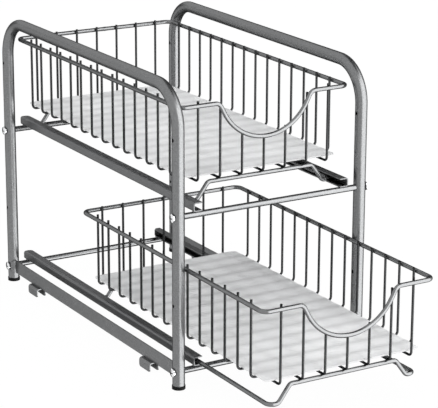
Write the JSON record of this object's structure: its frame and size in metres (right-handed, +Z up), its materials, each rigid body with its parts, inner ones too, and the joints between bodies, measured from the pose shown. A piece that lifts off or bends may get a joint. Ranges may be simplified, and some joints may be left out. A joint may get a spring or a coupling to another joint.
{
  "type": "pull out cabinet basket",
  "caption": "Two-tier organiser for a cabinet: a tube frame with slide channels carries wire baskets with lined floors and dipped fronts that pull out one above the other.",
  "frame": {"origin": "on the floor, under the centre of the whole object's box at rest, with the upper basket closed and the lower one pulled out", "axes": "+X to the right seen from the front, +Y from the front, where the baskets pull out, to the back, +Z up"},
  "size_m": [0.257, 0.5999, 0.347],
  "materials": {
    "frame_metal": "satin silver-grey paint",
    "bar_metal": "satin light silver paint",
    "channel_metal": "satin silver-grey paint",
    "wire_metal": "satin silver-grey paint",
    "screw_metal": "polished",
    "foot_cap": "matt black moulded plastic",
    "liner": "smooth milky sheet"
  },
  "bodies": {
    "frame": {"frame_left": "frame_metal", "frame_right": "frame_metal", "bar_upper_front": "bar_metal", "bar_upper_rear": "bar_metal", "bar_lower_front": "bar_metal", "bar_lower_rear": "bar_metal", "channel_upper_left": "channel_metal", "channel_upper_right": "channel_metal", "channel_lower_left": "channel_metal", "channel_lower_right": "channel_metal", "strip_left": "frame_metal", "strip_right": "frame_metal", "clip_left_front": "frame_metal", "clip_left_rear": "frame_metal", "clip_right_front": "frame_metal", "clip_right_rear": "frame_metal", "foot_left_front": "foot_cap", "foot_left_rear": "foot_cap", "foot_right_front": "foot_cap", "foot_right_rear": "foot_cap", "screws_upper": "screw_metal", "screws_lower": "screw_metal"},
    "upper_basket": {"upper_rim": "wire_metal", "upper_cross_wires": "wire_metal", "upper_long_wires": "wire_metal", "upper_runner": "wire_metal", "upper_liner": "liner"},
    "lower_basket": {"lower_rim": "wire_metal", "lower_cross_wires": "wire_metal", "lower_long_wires": "wire_metal", "lower_runner": "wire_metal", "lower_liner": "liner"}
  },
  "joints": [
    {"name": "upper_slide", "type": "slide", "parent": "frame", "child": "upper_basket", "axis": [0, -1, 0], "range_m": [0, 0.28]},
    {"name": "lower_slide", "type": "slide", "parent": "frame", "child": "lower_basket", "axis": [0, -1, 0], "range_m": [-0.1725, 0.1075]}
  ]
}
